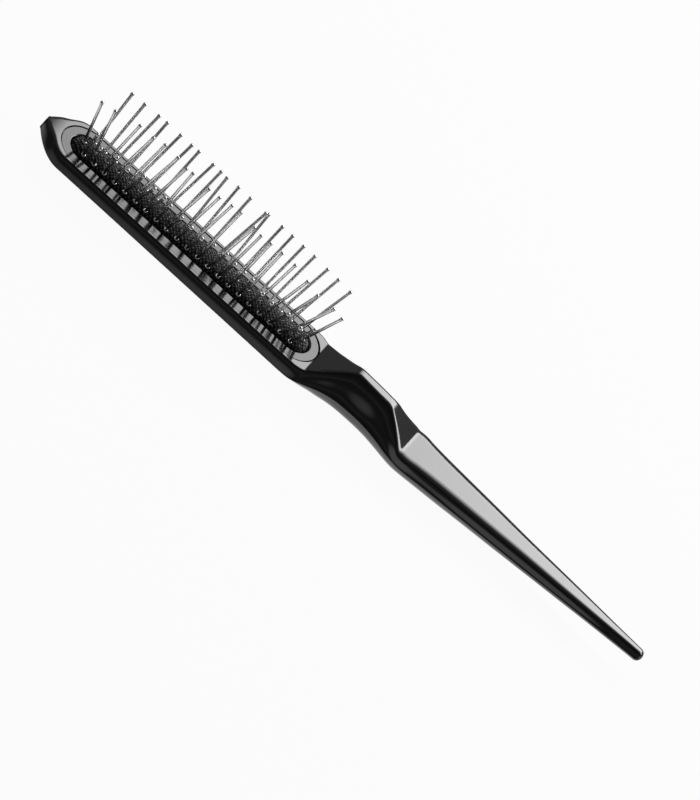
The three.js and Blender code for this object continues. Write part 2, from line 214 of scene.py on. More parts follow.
class Finish:
    # The node tree of a material, a lamp or the world.
    def __init__(self, owner):
        owner.use_nodes = True
        self.owner = owner
        self.tree = owner.node_tree
        self.tree.nodes.clear()

    def node(self, kind, settings=None, inputs=None, output=0):
        made = self.tree.nodes.new("ShaderNode" + kind)
        for key, value in (settings or {}).items():
            if key == "stops":
                ramp = made.color_ramp.elements
                while len(ramp) < len(value):
                    ramp.new(0.5)
                for element, (place, shade) in zip(ramp, value):
                    element.position = place
                    element.color = grey(shade)
            else:
                setattr(made, key, value)
        for key, value in (inputs or {}).items():
            if isinstance(value, Wire):
                self.tree.links.new(value.socket, made.inputs[key])
            else:
                made.inputs[key].default_value = value
        return Wire(self, made.outputs[output]) if made.outputs else made

    def also(self, wire, output):
        # Another output of the node that a wire comes from.
        return Wire(self, wire.socket.node.outputs[output])

    def split(self, vector):
        x = self.node("SeparateXYZ", inputs={0: vector})
        return x, self.also(x, 1), self.also(x, 2)

    def place(self):
        # Object coordinates in millimetres.
        spot = self.node("TexCoord", output="Object")
        return self.node("VectorMath", {"operation": "SCALE"}, {0: spot, "Scale": 1 / mm})

    def stretched(self, spot, scale):
        return self.node("VectorMath", {"operation": "MULTIPLY"}, {0: spot, 1: scale})

    def noise(self, spot, scale, detail, roughness=0.5):
        return self.node("TexNoise", {"noise_dimensions": "3D"},
                         {"Vector": spot, "Scale": scale, "Detail": detail, "Roughness": roughness})

    def ramp(self, value, stops):
        return self.node("ValToRGB", {"stops": stops}, {0: value})

    def blend(self, share, first, second):
        # A colour between two greys.
        greys = {0: share, 6: grey(first), 7: grey(second)}
        return self.node("Mix", {"data_type": "RGBA"}, greys, output=2)

    def bump(self, height, distance=1):
        # The distance is in millimetres.
        return self.node("Bump", inputs={"Height": height, "Distance": distance * mm})

    def mirrored(self, seen):
        # Rays that come off a gloss or through glass, from the Light Path node that a wire comes from.
        return self.also(seen, "Is Glossy Ray") + self.also(seen, "Is Transmission Ray")

    def principled(self, inputs):
        shader = self.node("BsdfPrincipled", inputs=inputs)
        self.node("OutputMaterial", inputs={"Surface": shader})
        return self.owner


def grey(value):
    return (value, value, value, 1)


# Handling marks run along the brush, and only the noise's highest parts show.
handling = {"stretch": (0.05, 1.0, 1.0), "levels": [(0.60, 0.0), (0.72, 1.0)]}


def glossBlack(name, look):
    # Polished black moulding: a hint of ripple from the mould, faint haze and fine handling marks.
    finish = Finish(bpy.data.materials.new(name))
    spot = finish.place()
    cloud = finish.noise(spot, **look["cloud"])
    speck = finish.noise(spot, **look["speck"])
    scratches = finish.noise(finish.stretched(spot, handling["stretch"]), **look["scratch"])
    marks = finish.ramp(scratches, handling["levels"])
    return finish.principled({
        "Base Color": finish.blend(cloud, look["dark"], look["light"]),
        "Roughness": look["roughness"] + look["haze"] * cloud + look["marks"] * marks,
        "IOR": look["ior"],
        "Normal": finish.bump(cloud * look["ripple"] + speck * look["grain"]),
    })


view = {
    "elevation": 36.25, "roll": 42.13, "target": (65.6, 0, 4.85), "distance": 9000,
    "lens": 1376.6, "sensor": 36, "near": 10, "far": 100000,
}


def placeCamera():
    up = math.radians(view["elevation"])
    roll = math.radians(view["roll"])
    towards = Vector((0, -math.cos(up), math.sin(up)))
    upright = Vector((0, math.sin(up), math.cos(up)))
    right = math.cos(roll) * Vector((1, 0, 0)) + math.sin(roll) * upright
    above = -math.sin(roll) * Vector((1, 0, 0)) + math.cos(roll) * upright
    lens = bpy.data.cameras.new("camera")
    lens.lens = view["lens"]
    lens.sensor_width = view["sensor"]
    lens.clip_start = view["near"] * mm
    lens.clip_end = view["far"] * mm
    camera = link("camera", lens)
    spot = Vector(view["target"]) + view["distance"] * towards
    turn = Matrix((right, above, towards)).transposed()
    camera.matrix_world = Matrix.Translation(spot * mm) @ turn.to_4x4()
    bpy.context.scene.camera = camera


placeCamera()
print("camera placed")


# In a list of stations each is [place along the brush, value], from the nose's side to the tail's.
body = {
    "headEnd": 46.3, "faceMargin": -0.22, "humpHeight": 7.3, "riseAngle": 30.5, "fallAngle": 31.5,
    "crestLength": 14.0, "crestDrop": 0.8, "crestRounding": 0.9, "creaseRounding": 0.25,
    "rampFootRounding": 0.35, "tailRounding": 1.9, "rimRounding": 0.06, "edgeMargin": 0.05,
    "landShare": 0.6, "cutAbove": 2, "smoothAngle": 35,
    "nose": {"length": 12, "tipHalf": 1.2, "bow": 1.95, "rounding": 0.5, "domeStart": 6.4, "dome": 0.016,
             "edgeAcross": 2.9, "edgeShare": 0.75, "edgeDown": 1.05, "inset": 3.1, "easing": 1.5,
             "swell": 1.0, "swellAt": 0.44, "swellReach": 0.2, "leastFlat": 0.2},
    # The flat of the top, and how wide and how deep its edges are rounded.
    "flat": [(46.3, 9.7), (48.5, 9.2), (51.5, 7.3), (54.4, 4.8), (57.4, 2.8), (60.4, 1.4), (63.2, 0.8),
             (66.2, 0.9), (70.6, 1.0), (75, 0.95), (77.9, 1.7), (80.7, 2.55), (83.8, 3.85), (86.8, 5.4),
             (89.7, 5.75), (92.6, 5.15), (98.5, 4.3), (116.2, 3.15), (133.8, 2.1), (151.5, 1.45),
             (169.1, 0.7), (178.7, 0.4)],
    "edgeAcross": [(46.3, 0.8), (51.5, 0.9), (54.4, 1.7), (57.4, 2.0), (62, 1.6), (76, 1.5), (80.7, 2.0),
                   (83.8, 2.7), (86.8, 3.0), (89.7, 2.8), (98.5, 3.2), (116.2, 3.0), (133.8, 2.6),
                   (151.5, 2.1), (169.1, 1.5), (178.7, 1.1)],
    "edgeDown": [(46.3, 0.4), (51.5, 0.6), (63, 0.8), (84, 0.75), (90, 0.7), (98.5, 0.8), (134, 0.75),
                 (152, 0.7), (169, 0.6), (178.7, 0.5)],
    # The sides' widest line, its depth below the face, the height of the back and half its flat land.
    "widest": [(46.3, 11.45), (48.7, 11.35), (51.5, 10.0), (54.4, 8.6), (57.4, 7.3), (63.2, 5.65),
               (70.6, 5.25), (77.9, 6.3), (83.8, 8.15), (89.7, 8.85), (98.5, 8.25), (116.2, 6.65),
               (133.8, 5.2), (151.5, 3.95), (169.1, 2.85), (178.7, 2.2)],
    "widestDrop": [(-40, 4.1), (0, 4.27), (30, 4.4), (46.3, 4.5), (48.5, 4.3), (51.5, 3.87), (54.4, 3.59),
                   (57.4, 3.19), (63.2, 3.09), (70.6, 3.19), (77.9, 3.26), (83.8, 3.45), (89.7, 3.68),
                   (98.5, 3.42), (116.2, 3.42), (133.8, 3.3), (151.5, 2.8), (169.1, 2.29), (178.7, 2.1)],
    "back": [(50, 0.0), (58, 0.05), (70, 0.1), (84, 0.0), (90, 0.0), (98.5, 0.05), (116.2, 0.9),
             (133.8, 2.1), (151.5, 3.2), (169.1, 4.1), (178.7, 4.6)],
    "landHalf": [(40, 2.5), (63, 0.8), (88, 0.8), (178, 0.3)],
    # Slopes at both ends of the flank, in degrees, and how far they hold, as a share of its length.
    "flankStart": [(46.3, 68), (51, 64), (57, 58), (79, 58), (84, 60), (90, 62), (178, 64)],
    "flankEnd": [(46.3, 76), (51, 68), (57, 58), (84, 58), (90, 60), (178, 60)],
    "flankHold": [(46.3, 0.4), (57, 0.36), (178, 0.36)],
    "flankArrive": 0.34,
    # The underside's slope below the widest line, measured from the upright, how far it holds, and where
    # the underside starts to level out.
    "underStart": [(46.3, 62), (49, 32), (52, 24), (178, 24)],
    "underHold": [(46.3, 0.12), (48.5, 0.17), (51.5, 0.42), (54.4, 0.57), (57.4, 0.82), (60.3, 0.73),
                  (66.2, 0.58), (70.6, 0.6), (75, 0.64), (77.9, 0.78), (83.8, 0.85), (86.8, 0.96),
                  (89.7, 0.86), (92.6, 0.76), (98.5, 0.7), (116.2, 0.6), (125, 0.7), (142.6, 0.79),
                  (151.5, 0.84), (160.3, 0.68), (178, 0.6)],
    "underArrive": [(46.3, 0.25), (49, 0.4), (52, 0.55), (178, 0.55)],
    # How far each list's curve is blurred along the brush.
    "blur": {"flat": 0.7, "edgeAcross": 1.5, "edgeDown": 1.5, "widest": 1.6, "widestDrop": 1.6, "back": 3,
             "landHalf": 2, "flankStart": 1.5, "flankEnd": 1.5, "flankHold": 1.5, "underStart": 0.8,
             "underHold": 0.8, "underArrive": 0.8},
    # Points round one side of a ring, and rings along each stretch of the brush. The nose's rings crowd
    # towards its tip, and the crease between the face and the hump has its own short stretch. The turns
    # are degrees round the nose's and the tail's roundings.
    "points": {"edge": 16, "flank": 25, "under": 31},
    "rings": {"nose": 46, "crowding": 1.3, "head": 12, "shoulder": 22, "crease": 13, "neck": 110,
              "handle": 60, "shoulderLead": 6, "creaseHalf": 0.6, "neckTrail": 6,
              "noseTurns": (80, 60, 40, 20), "tailTurns": range(8, 89, 8)},
    "look": {"roughness": 0.09, "haze": 0.05, "marks": 0.05, "dark": 0.003, "light": 0.006, "ior": 1.5,
             "ripple": 0.01, "grain": 0.001, "cloud": {"scale": 0.09, "detail": 4.0},
             "speck": {"scale": 1.4, "detail": 2.0},
             "scratch": {"scale": 0.8, "detail": 5.0, "roughness": 0.7}},
}

riseSlope = math.tan(math.radians(body["riseAngle"]))
fallSlope = math.tan(math.radians(body["fallAngle"]))
faceEnd = halfStraight + halfRecess + body["faceMargin"]
crestStart = faceEnd + body["humpHeight"] / riseSlope
crestEnd = crestStart + body["crestLength"]
humpEnd = crestEnd + (body["humpHeight"] - body["crestDrop"]) / fallSlope
facetEnd = tailTip - body["tailRounding"]
headHalf = body["widest"][0][1]
stationCurve = {name: softCurve(body[name], blur) for name, blur in body["blur"].items()}


def topHeight(x):
    # The face, domed down to the nose's tip, the hump, and the handle level with the face.
    ridge = body["humpHeight"] - body["crestDrop"] * (x - crestStart) / body["crestLength"]
    rising, falling = (x - faceEnd) * riseSlope, (humpEnd - x) * fallSlope
    hump = roundedMin(ridge, min(rising, falling), body["crestRounding"])
    foot = body["creaseRounding"] if rising < falling else body["rampFootRounding"]
    dome = body["nose"]["dome"] * max(body["nose"]["domeStart"] - (x - noseTip), 0) ** 2
    return face - roundedMin(0, -hump, foot) - dome


def halfSection(x):
    # One side of the outline at x, from the middle of the top round to the middle of the back.
    nose = body["nose"]
    at = {name: curve(x) for name, curve in stationCurve.items()}
    taper = min(max((x - noseTip) / nose["length"], 0), 1)
    noseHalf = between(nose["tipHalf"], headHalf, 1 - (1 - taper) ** nose["bow"])
    broad = min(noseHalf, at["widest"])
    top = topHeight(x)
    side = face - at["widestDrop"]
    share = noseHalf / headHalf
    bottom = side * (1 - share) if x < faceEnd else at["back"]

    eased = taper ** nose["easing"]
    across = between(min(nose["edgeAcross"], nose["edgeShare"] * noseHalf), at["edgeAcross"], eased)
    down = between(nose["edgeDown"], at["edgeDown"], taper)
    inset = between(nose["inset"], headHalf - body["flat"][0][1], eased)
    inset += nose["swell"] * math.exp(-((taper - nose["swellAt"]) / nose["swellReach"]) ** 2)
    half = min(max(noseHalf - inset, nose["leastFlat"] * noseHalf), at["flat"])

    # The top's edge turns until it has the slope that the flank starts with.
    steep = math.radians(at["flankStart"])
    last = math.atan(across / down * math.tan(steep))
    across = min(across, (broad - half - body["edgeMargin"]) / math.sin(last))
    points = [(half * 0.5, top), (half - sliver, top)]
    for turn in np.linspace(0, last, body["points"]["edge"]):
        points.append((half + across * math.sin(turn), top - down * (1 - math.cos(turn))))

    start = np.array(points[-1])
    end = np.array((broad, side))
    height = np.linalg.norm(end - start)
    closing = math.radians(at["flankEnd"])
    leave = start + at["flankHold"] * height * np.array((math.cos(steep), -math.sin(steep)))
    arrive = end - body["flankArrive"] * height * np.array((math.cos(closing), -math.sin(closing)))
    points += bend(start, leave, arrive, end, np.linspace(0, 1, body["points"]["flank"])[1:-1])

    land = min(at["landHalf"] * share, body["landShare"] * broad)
    inward = math.radians(at["underStart"])
    leave = end - at["underHold"] * (side - bottom) * np.array((math.sin(inward), math.cos(inward)))
    arrive = np.array((between(land, broad, at["underArrive"]), bottom))
    points += bend(end, leave, arrive, np.array((land, bottom)), np.linspace(0, 1, body["points"]["under"]))
    return np.array(points + [(land * 0.5, bottom)])


def fullRing(x, section):
    # Both sides of a section, as one closed ring.
    both = np.vstack([section * (-1, 1), section[::-1]])
    return np.column_stack([np.full(len(both), x), both])


def bodyRings():
    # Rings from the rounded tip of the nose to the rounded end of the tail.
    nose, r = body["nose"], body["rings"]
    tipEnd = noseTip + nose["rounding"]
    tip = halfSection(tipEnd)
    low, high = tip[:, 1].min(), tip[:, 1].max()
    middle = np.array((0, (high + low) / 2))
    rings = []
    for turn in np.radians(r["noseTurns"]):
        inset = nose["rounding"] * (1 - math.cos(turn))
        squeeze = np.array([1 - inset / tip[:, 0].max(), 1 - inset / ((high - low) / 2)])
        rings.append(fullRing(noseTip + nose["rounding"] * (1 - math.sin(turn)),
                              (tip - middle) * squeeze + middle))

    # The stations stand close together where the form turns.
    stations = [tipEnd + (nose["length"] - nose["rounding"]) * np.linspace(0, 1, r["nose"]) ** r["crowding"]]
    ends = {"head": body["headEnd"] - r["shoulderLead"], "shoulder": faceEnd - r["creaseHalf"],
            "crease": faceEnd + r["creaseHalf"], "neck": humpEnd + r["neckTrail"], "handle": facetEnd}
    for stretch, end in ends.items():
        stations.append(np.linspace(stations[-1][-1], end, r[stretch])[1:])
    rings += [fullRing(x, halfSection(x)) for x in np.concatenate(stations)]

    last = halfSection(facetEnd)
    middle = np.array((0, last[:, 1].mean()))
    for turn in np.radians(r["tailTurns"]):
        rings.append(fullRing(facetEnd + body["tailRounding"] * math.sin(turn),
                              (last - middle) * math.cos(turn) + middle))
    return rings


def pocketCutter():
    rim = body["rimRounding"]
    ledge = bezelLow.z - seat["gap"]
    profile = [(seat["pocketHalf"], seat["pocketFloor"]), (seat["pocketHalf"], ledge),
               (halfRecess, ledge), (halfRecess, face - rim),
               (halfRecess + rim, face), (halfRecess + rim, face + body["cutAbove"])]
    return loft("pocket_cutter", [stadium(w, z, arc=64) for w, z in profile], smoothAngle=30)


def applyModifiers(made):
    bpy.context.view_layer.update()
    graph = bpy.context.evaluated_depsgraph_get()
    mesh = bpy.data.meshes.new_from_object(made.evaluated_get(graph))
    old = made.data
    made.modifiers.clear()
    made.data = mesh
    bpy.data.meshes.remove(old)


def makeBody():
    made = loft("brush_shell", bodyRings(), smoothAngle=body["smoothAngle"])
    cutter = pocketCutter()
    cut = made.modifiers.new("pocket", "BOOLEAN")
    cut.operation = "DIFFERENCE"
    cut.solver = "EXACT"
    cut.object = cutter
    applyModifiers(made)
    bpy.data.objects.remove(cutter)
    shadeSmooth(made, body["smoothAngle"])
    made.data.materials.clear()
    made.data.materials.append(glossBlack("black_moulding", body["look"]))
    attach(made, "head")
    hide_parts("brush_body")
    return made


brushShell = makeBody()
print("body made:", len(brushShell.data.polygons), "faces")


# The plate lies against the near side and the nose, so the seam is widest on the far side and at the neck.
bezel = {
    "outerRounding": 0.08, "slotRounding": 0.65, "sideSeam": 0.27, "endSeam": 0.42, "shift": (-0.1, -0.26),
    "look": {"roughness": 0.10, "haze": 0.06, "marks": 0.05, "dark": 0.006, "light": 0.012, "ior": 1.38,
             "ripple": 0.035, "grain": 0.003, "cloud": {"scale": 0.12, "detail": 4.0},
             "speck": {"scale": 1.6, "detail": 2.0},
             "scratch": {"scale": 0.9, "detail": 5.0, "roughness": 0.7}},
}


def makeBezel():
    outer, inner = bezel["outerRounding"], bezel["slotRounding"]
    halfSlot = seat["slotHalf"]
    outside = [(halfBezel, bezelLow.z)]
    outside += arcPoints((halfBezel - outer, face - outer), outer, start=0, end=90, count=7)
    outside.append((halfBezel - outer - sliver, face))
    inside = [(halfSlot + inner + sliver, face)]
    inside += arcPoints((halfSlot + inner, face - inner), inner, start=90, end=180, count=10)
    inside.append((halfSlot, bezelLow.z))
    rings = np.array([stadium(w, z, arc=72) for w, z in outside + inside])
    edge = rings[:len(outside)]
    edge[:, :, 0] *= (halfStraight + halfRecess - bezel["endSeam"]) / (halfStraight + halfBezel)
    edge[:, :, 1] *= (halfRecess - bezel["sideSeam"]) / halfBezel
    edge[:, :, :2] += bezel["shift"]
    made = loft("bezel_frame", rings, smoothAngle=40, looped=True)
    made.data.materials.append(glossBlack("black_bezel", bezel["look"]))
    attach(made, "head")
    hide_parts("bezel_plate")


makeBezel()
print("bezel made")


pins = {
    "count": 21, "length": 19.2, "shaft": 0.49, "ball": 0.62, "ballHeight": 0.56, "foot": 0.75,
    "footHeight": 6.6, "sides": 22,
    "rows": {"left": (81.8, -4.1), "middle": (86.2, 0.0), "right": (81.8, 4.1)},  # span, place across
    "headsAbove": 8, "headGap": 0.9,  # how the heads are told from the rest and from each other
    "footTurns": (12, 35, 60, 90, 120), "tipTurns": (-24, -8, 8, 24, 40, 54, 67, 78, 86),
    "aboveFoot": 0.62, "belowPad": 0.5,  # the wire's first two points, from the foot and from the pad
    "throat": [(1.0, 0.75), (1.05, 0.6), (1.18, 0.42)],  # share of the shaft, distance below the ball
    "look": {"dark": 0.76, "light": 0.86, "roughness": 0.23, "haze": 0.03, "relief": 0.002,
             "stretch": (1.6, 1.6, 0.2), "streak": {"scale": 1.1, "detail": 4.0, "roughness": 0.6},
             "cloud": {"scale": 0.35, "detail": 3.0}, "streakShare": 0.7, "cloudShare": 0.3},
}


def pinNames(row):
    # The frame has a node for each outer pin and one for the whole middle row.
    return [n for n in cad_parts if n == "pin_row_" + row or n.startswith("pin_" + row + "_")]


def pinHeads(row):
    # The points of each CAD pin's head, from the nose to the tail.
    heads = []
    for name in sorted(pinNames(row)):
        spots = np.array([v.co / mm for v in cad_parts[name].data.vertices])
        heads.append(spots[spots[:, 2] > padTop + pins["headsAbove"]])
    if row == "middle":  # one node holds this whole row
        spots = heads[0][np.argsort(heads[0][:, 0])]
        heads = np.split(spots, np.where(np.diff(spots[:, 0]) > pins["headGap"])[0] + 1)
    return heads


def pinAxes(row):
    # Base point and direction of each pin of a row.
    span, place = pins["rows"][row]
    axes = []
    for i, head in enumerate(pinHeads(row)):
        base = np.array([(i / (pins["count"] - 1) - 0.5) * span, place, padTop])
        aim = head.mean(axis=0) - base
        axes.append((base, aim / np.linalg.norm(aim)))
    return axes


rowAxes = {row: pinAxes(row) for row in pins["rows"]}


def drawnSteel():
    # Bright wire with fine streaks along it.
    finish = Finish(bpy.data.materials.new("drawn_steel"))
    look = pins["look"]
    spot = finish.place()
    streaks = finish.noise(finish.stretched(spot, look["stretch"]), **look["streak"])
    cloud = finish.noise(spot, **look["cloud"])
    shade = streaks * look["streakShare"] + cloud * look["cloudShare"]
    return finish.principled({
        "Base Color": finish.blend(shade, look["dark"], look["light"]),
        "Metallic": 1.0,
        "Roughness": look["roughness"] + look["haze"] * streaks,
        "Normal": finish.bump(streaks, look["relief"]),
    })


steel = drawnSteel()


def turned(base, axis, profile, sides):
    # Rings of a turned profile of [radius, distance along the axis].
    side = np.cross(axis, (1.0, 0.0, 0.0))
    side /= np.linalg.norm(side)
    angles = np.linspace(0, 2 * math.pi, sides, endpoint=False)
    circle = np.outer(np.cos(angles), side) + np.outer(np.sin(angles), np.cross(axis, side))
    return [base + axis * along + circle * radius for radius, along in profile]


def makeTurnedRow(name, row, turnings, smoothAngle, looped=False):
    # One steel object from the turned rings at each pin of a row.
    points, faces = [], []
    for rings in turnings:
        faces += loftFaces(len(rings), len(rings[0]), start=len(points), looped=looped)
        points += [tuple(p) for ring in rings for p in ring]
    made = makeObject(name, points, faces, smoothAngle)
    made.data.materials.append(steel)
    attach(made, "row_" + row)
    return made


def pinProfile(steepness):
    # A ball foot, the wire, and a ball tip that is drawn into it.
    p = pins
    foot = -(padTop - p["footHeight"]) / steepness
    middle = p["length"] - p["ballHeight"]
    ball = [(p["foot"] * math.sin(a), foot - p["foot"] * math.cos(a)) for a in np.radians(p["footTurns"])]
    wire = [(p["shaft"], along) for along in (foot + p["aboveFoot"], -p["belowPad"], p["length"] * 0.5)]
    throat = [(p["shaft"] * share, middle - below) for share, below in p["throat"]]
    tip = [(p["ball"] * math.cos(a), middle + p["ballHeight"] * math.sin(a))
           for a in np.radians(p["tipTurns"])]
    return ball + wire + throat + tip


def makePins():
    for row, axes in rowAxes.items():
        turnings = [turned(base, aim, pinProfile(aim[2]), pins["sides"]) for base, aim in axes]
        made = makeTurnedRow("pins_" + row, row, turnings, smoothAngle=50)
        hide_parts(*pinNames(row))


makePins()
print("pins made")


# Each wire has a small round shoulder where it comes through the cloth.
shoulder = {
    "profile": [(0.5, -0.45), (0.72, -0.3), (0.8, -0.08), (0.78, 0.08), (0.72, 0.2), (0.63, 0.28),
                (0.5, 0.32)],
    "sides": 20,
    "lean": {"left": 0.5, "middle": 0.0, "right": 0.0},  # how far each row's leans with its pins
}


def makeShoulders():
    upright = np.array((0.0, 0.0, 1.0))
    for row, axes in rowAxes.items():
        lift = seat["padCrown"] if row == "middle" else 0.0
        turnings = []
        for base, aim in axes:
            axis = between(upright, aim, shoulder["lean"][row])
            axis /= np.linalg.norm(axis)
            turnings.append(turned(base + aim * lift, axis, shoulder["profile"], shoulder["sides"]))
        made = makeTurnedRow("shoulders_" + row, row, turnings, smoothAngle=60, looped=True)


makeShoulders()
print("shoulders made")


pad = {
    "shoulder": 2.0, "shoulderDrop": 0.6, "shoulderTurn": 60, "shoulderRings": 14, "wall": 1.0,
    "wallDrop": 0.4, "rimHeight": 1.0, "hollowDrop": 1.0, "grid": 0.15, "middleHalf": 0.02, "weaveFade": 0.3,
    "blow": {"step": 0.8, "scale": 0.02, "frames": 20, "cap": 0.7, "edgeHold": 0.4, "pinHold": 0.6},
    # In the simulation's own words.
    "cloth": {"quality": 6, "mass": 0.3, "tension_stiffness": 12, "compression_stiffness": 12,
              "shear_stiffness": 4, "bending_stiffness": 0.2, "shrink_min": -0.06, "use_pressure": True,
              "uniform_pressure_force": 6.0, "vertex_group_mass": "held"},
    "weave": {"pitch": 1.0, "ribHalf": 0.47, "crossHalf": 0.4, "rib": 0.17, "cross": 0.12, "lift": 0.06,
              "pit": 0.05},
    "look": {"pit": 0.001, "crown": 0.9, "contrast": 1.6, "roughness": 0.8, "haze": 0.15, "gloss": 0.12,
             "rib": (0.65, 0.55), "cross": (0.45, 0.45),  # a thread's tone, and how far it swings, lighter as painted highlight where it passes over
             "fuzz": {"scale": 2.6, "detail": 4.0, "roughness": 0.65}, "lumps": [(0.4, 0.12), (0.6, 1.0)],
             "patch": {"scale": 0.35, "detail": 2.0}, "patchTone": (0.5, 0.7),
             "paintedShadeAcross": {"From Min": -4.5, "From Max": 3.5, "To Min": 0.25, "To Max": 1.15},  # painted shade across the pad: darker on the near side, lighter on the far side
             "shade": {"From Min": 4.1, "From Max": 4.6},  # painted shadow under the slot's far side
             "relief": 0.08, "threadRelief": 0.8, "fuzzRelief": 0.3},
}


def slants(x, y):
    # Where a spot lies in threads along both slants of the weave. It takes arrays or wires.
    pitch = math.sqrt(2) * pad["weave"]["pitch"]
    return (x + y) / pitch, (x - y) / pitch


def weaveHeight(x, y):
    # Strong ribs on one slant, and finer threads on the other that pass over and under them.
    w = pad["weave"]
    a, b = slants(x, y)
    swing = np.cos(math.pi * a) * np.cos(math.pi * b)
    top = w["rib"] + w["lift"]
    height = np.full_like(x, -w["pit"])
    threads = ((a, w["ribHalf"], w["rib"], swing), (b, w["crossHalf"], w["cross"], -swing))
    for place, half, rise, lift in threads:
        off = np.abs(place - np.round(place)) / half
        height = np.maximum(height, rise * np.sqrt(np.clip(1 - off ** 2, 0, 1)) + w["lift"] * lift - top)
    return height


def crownHeight(x, y):
    # The cushion's plain shape: level at its sides and highest along the middle row.
    inward = insidePad(x, y)
    crownStart = 0.5 * pad["shoulder"]
    side = np.clip(inward / pad["shoulder"], 0, 1)
    middle = np.clip((inward - crownStart) / (halfPad - crownStart), 0, 1)
    fall = pad["shoulderDrop"] + seat["padRise"]
    return padTop - fall * (1 - np.sqrt(1 - (1 - side) ** 2)) + seat["padCrown"] * (1 - (1 - middle) ** 2)


def blownSheet():
    # The cloth is held at the slot's edge and at every pin and swells between them. It is simulated as a
    # grid at twenty times its size, and gives the swelling back as heights on that grid.
    b = pad["blow"]
    xs = np.arange(-halfStraight - halfPad, halfStraight + halfPad + b["step"], b["step"])
    ys = np.arange(-halfPad, halfPad + b["step"] / 2, 2 * halfPad / round(2 * halfPad / b["step"]))
    gridX, gridY = np.meshgrid(xs, ys, indexing="ij")
    plain = crownHeight(gridX, gridY)
    points = np.stack([gridX, gridY, plain], axis=2).reshape(-1, 3) * b["scale"]
    rows, columns = gridX.shape
    faces = [(i * columns + j, (i + 1) * columns + j, (i + 1) * columns + j + 1, i * columns + j + 1)
             for i in range(rows - 1) for j in range(columns - 1)]
    mesh = bpy.data.meshes.new("blown_sheet")
    mesh.from_pydata(points.tolist(), [], faces)
    sheet = link("blown_sheet", mesh)
    spots = [base[:2] for axes in rowAxes.values() for base, aim in axes]
    near = np.min([np.hypot(gridX - spotX, gridY - spotY) for spotX, spotY in spots], axis=0)
    held = (insidePad(gridX, gridY) < b["edgeHold"]) | (near < b["pinHold"])
    sheet.vertex_groups.new(name="held").add(np.flatnonzero(held.ravel()).tolist(), 1.0, "REPLACE")
    cloth = sheet.modifiers.new("blow", "CLOTH")
    cloth.collision_settings.use_collision = False
    cloth.settings.effector_weights.gravity = 0
    for key, value in pad["cloth"].items():
        setattr(cloth.settings, key, value)
    for step in range(1, b["frames"] + 1):
        bpy.context.scene.frame_set(step)
    shape = sheet.evaluated_get(bpy.context.evaluated_depsgraph_get()).to_mesh()
    blown = np.empty(len(shape.vertices) * 3)
    shape.vertices.foreach_get("co", blown)
    swelling = blown.reshape(rows, columns, 3)[:, :, 2] / b["scale"] - plain
    bpy.data.objects.remove(sheet)
    bpy.context.scene.frame_set(1)
    print("cloth blown:", round(float(swelling.min()), 2), "to", round(float(swelling.max()), 2), "mm")
    return xs, ys, np.clip(swelling, -b["cap"], b["cap"])


def readGrid(xs, ys, heights, x, y):
    # Heights between the grid's points, eased from one to the next.
    short = 1.001  # keeps every spot before the grid's last point
    i = np.clip((x - xs[0]) / (xs[1] - xs[0]), 0, len(xs) - short)
    j = np.clip((y - ys[0]) / (ys[1] - ys[0]), 0, len(ys) - short)
    a, c = i.astype(int), j.astype(int)
    u, v = i - a, j - c
    u, v = u * u * (3 - 2 * u), v * v * (3 - 2 * v)
    low = heights[a, c] * (1 - u) + heights[a + 1, c] * u
    high = heights[a, c + 1] * (1 - u) + heights[a + 1, c + 1] * u
    return low * (1 - v) + high * v


def makePad():
    # Rings from the clamped rim's inside round under the pad, up its side and in over the crown.
    p = pad
    along = int(2 * halfStraight / p["grid"])
    rimTop = padLow.z + p["rimHeight"]
    inside = halfPad - p["wall"]
    profile = [(inside, face - p["hollowDrop"]), (inside, padLow.z), (padHigh.y, padLow.z),
               (padHigh.y, rimTop), (halfPad, rimTop), (halfPad, face - p["shoulderDrop"] - p["wallDrop"])]
    below = len(profile)
    turns = np.radians(np.linspace(0, p["shoulderTurn"], p["shoulderRings"]))
    widths = halfPad - p["shoulder"] * (1 - np.cos(turns))
    inner = np.linspace(widths[-1], p["middleHalf"], int(widths[-1] / p["grid"]))[1:]
    profile += [(w, face) for w in np.concatenate([widths, inner])]
    rings = np.array([stadium(w, z, arc=72, along=along) for w, z in profile])

    x, y = rings[below:, :, 0], rings[below:, :, 1]
    woven = np.clip(insidePad(x, y) / p["weaveFade"], 0, 1)  # the weave fades out at the edge
    swelling = readGrid(*blownSheet(), x, y)
    rings[below:, :, 2] = crownHeight(x, y) + swelling + woven * weaveHeight(x, y)
    made = loft("woven_cushion", rings, smoothAngle=75)
    made.data.materials.append(wovenFinish())
    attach(made, "head")
    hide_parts("woven_pad")


